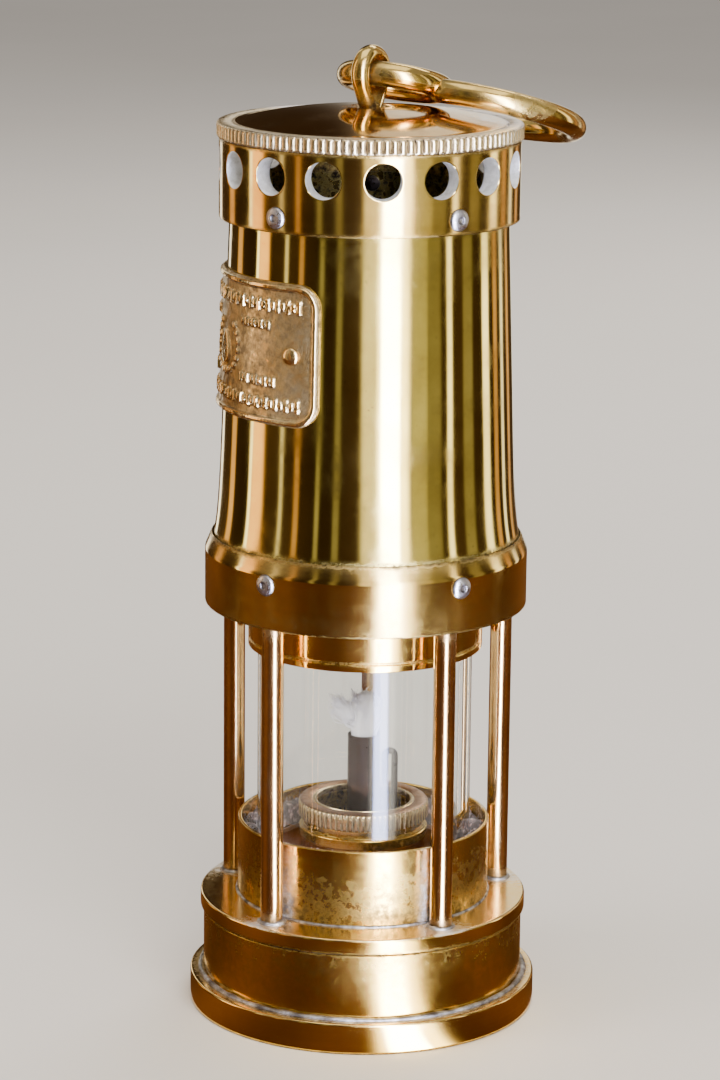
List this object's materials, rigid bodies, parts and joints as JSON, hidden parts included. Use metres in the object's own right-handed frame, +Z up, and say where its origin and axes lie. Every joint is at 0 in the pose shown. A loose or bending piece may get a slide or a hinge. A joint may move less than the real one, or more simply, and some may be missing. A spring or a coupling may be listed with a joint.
{
  "type": "miner's safety lamp",
  "caption": "Miner's flame safety lamp: oil vessel, wick burner in a pillared glass, tapered bonnet over gauzes, vent ring, knurled lid and carrying hook.",
  "frame": {"origin": "centre of the foot ring's underside, on the lamp's axis", "axes": "+Z up along the lamp's axis, -Y towards the front bay between two pillars, the badge towards -X"},
  "size_m": [0.0989, 0.09, 0.249],
  "materials": {
    "body_brass": "satin, fine turned marks, tarnished",
    "polished_brass": "mirror polished",
    "ring_brass": "smooth, worn",
    "rivet_aluminium": "satin",
    "clear_glass": "clear, smooth",
    "nickel": "grey, drawn tube",
    "steel_wire": "bright wire",
    "gauze_steel": "dark woven wire",
    "seal": "dark leather",
    "wick_cotton": "frayed white cotton",
    "packing_fibre": "torn fibre"
  },
  "bodies": {
    "vessel": {"foot_ring": "body_brass", "vessel_shell": "body_brass", "vessel_floor": "body_brass", "vessel_deck": "body_brass", "vessel_neck": "body_brass", "burner_base": "polished_brass", "wick_plate": "nickel", "wick_tube": "nickel", "pricker_guide": "body_brass", "pricker_packing": "body_brass"},
    "filler_washer": {"filler_washer": "seal"},
    "filler_plug": {"filler_plug": "body_brass"},
    "burner_washer": {"burner_washer": "seal"},
    "burner_nut": {"burner_nut": "body_brass"},
    "wick": {"wick": "wick_cotton"},
    "pricker_washer": {"pricker_washer": "seal"},
    "pricker": {"pricker": "steel_wire", "pricker_knob": "body_brass"},
    "vessel_seal": {"vessel_seal": "seal"},
    "frame": {"pillar_plate": "body_brass", "glass_cup": "body_brass", "glass_seat": "body_brass", "cup_packing": "packing_fibre", "pillar_1": "body_brass", "pillar_2": "body_brass", "pillar_3": "body_brass", "pillar_4": "body_brass", "pillar_5": "body_brass", "shoulder_ring": "body_brass", "shoulder_rivets": "rivet_aluminium", "lower_glass_washer": "seal", "glass_chimney": "clear_glass", "upper_glass_washer": "seal", "glass_collar": "polished_brass", "gauze_flange": "body_brass", "inner_gauze": "gauze_steel", "outer_gauze": "gauze_steel", "bonnet": "polished_brass", "badge_plate": "polished_brass", "badge_screws": "body_brass", "vent_ring": "body_brass", "vent_rivets": "rivet_aluminium"},
    "lid": {"lid": "polished_brass"},
    "eye": {"eye": "ring_brass", "eye_washer": "body_brass"},
    "hook": {"hook_ring": "ring_brass", "hook_arc": "ring_brass"}
  },
  "joints": [
    {"name": "frame_lift", "type": "slide", "parent": "vessel", "child": "vessel_seal", "axis": [0, 0, 1], "range_m": [0, 0.00451]},
    {"name": "frame_turn", "type": "hinge", "parent": "vessel_seal", "child": "frame", "pos_m": [0, 0, 0.025], "axis": [0, 0, 1], "range_deg": [0, 1080]},
    {"name": "burner_lift", "type": "slide", "parent": "vessel", "child": "burner_washer", "axis": [0, 0, 1], "range_m": [0, 0.00301]},
    {"name": "burner_turn", "type": "hinge", "parent": "burner_washer", "child": "burner_nut", "pos_m": [0, 0, 0.05], "axis": [0, 0, 1], "range_deg": [0, 1080]},
    {"name": "filler_drop", "type": "slide", "parent": "vessel", "child": "filler_washer", "axis": [0, 0, -1], "range_m": [0, 0.00501]},
    {"name": "filler_turn", "type": "hinge", "parent": "filler_washer", "child": "filler_plug", "pos_m": [-0.022, 0, 0.006], "axis": [0, 0, -1], "range_deg": [0, 1800]},
    {"name": "pricker_slide", "type": "slide", "parent": "vessel", "child": "pricker_washer", "axis": [0, 0, 1], "range_m": [0, 0.0038]},
    {"name": "pricker_turn", "type": "hinge", "parent": "pricker_washer", "child": "pricker", "pos_m": [0.008, 0, 0.003], "axis": [0, 0, 1], "range_deg": [-170, 170]},
    {"name": "wick_slide", "type": "slide", "parent": "vessel", "child": "wick", "axis": [0, 0, 1], "range_m": [0, 0.00381]},
    {"name": "lid_turn", "type": "hinge", "parent": "frame", "child": "lid", "pos_m": [0, 0, 0.226], "axis": [0, 0, 1], "range_deg": [0, 720]},
    {"name": "eye_swivel", "type": "hinge", "parent": "lid", "child": "eye", "pos_m": [0, 0, 0.23], "axis": [0, 0, 1], "continuous": true},
    {"name": "hook_swing", "type": "hinge", "parent": "eye", "child": "hook", "pos_m": [0, 0, 0.242], "axis": [0.866, -0.5, 0], "range_deg": [0, 205]}
  ],
  "couplings": [
    {"joint": "frame_lift", "follows": "frame_turn", "m_per_rad": 0.00023873},
    {"joint": "burner_lift", "follows": "burner_turn", "m_per_rad": 0.00015915},
    {"joint": "filler_drop", "follows": "filler_turn", "m_per_rad": 0.00015915},
    {"joint": "wick_slide", "follows": "pricker_slide", "ratio": 1}
  ]
}
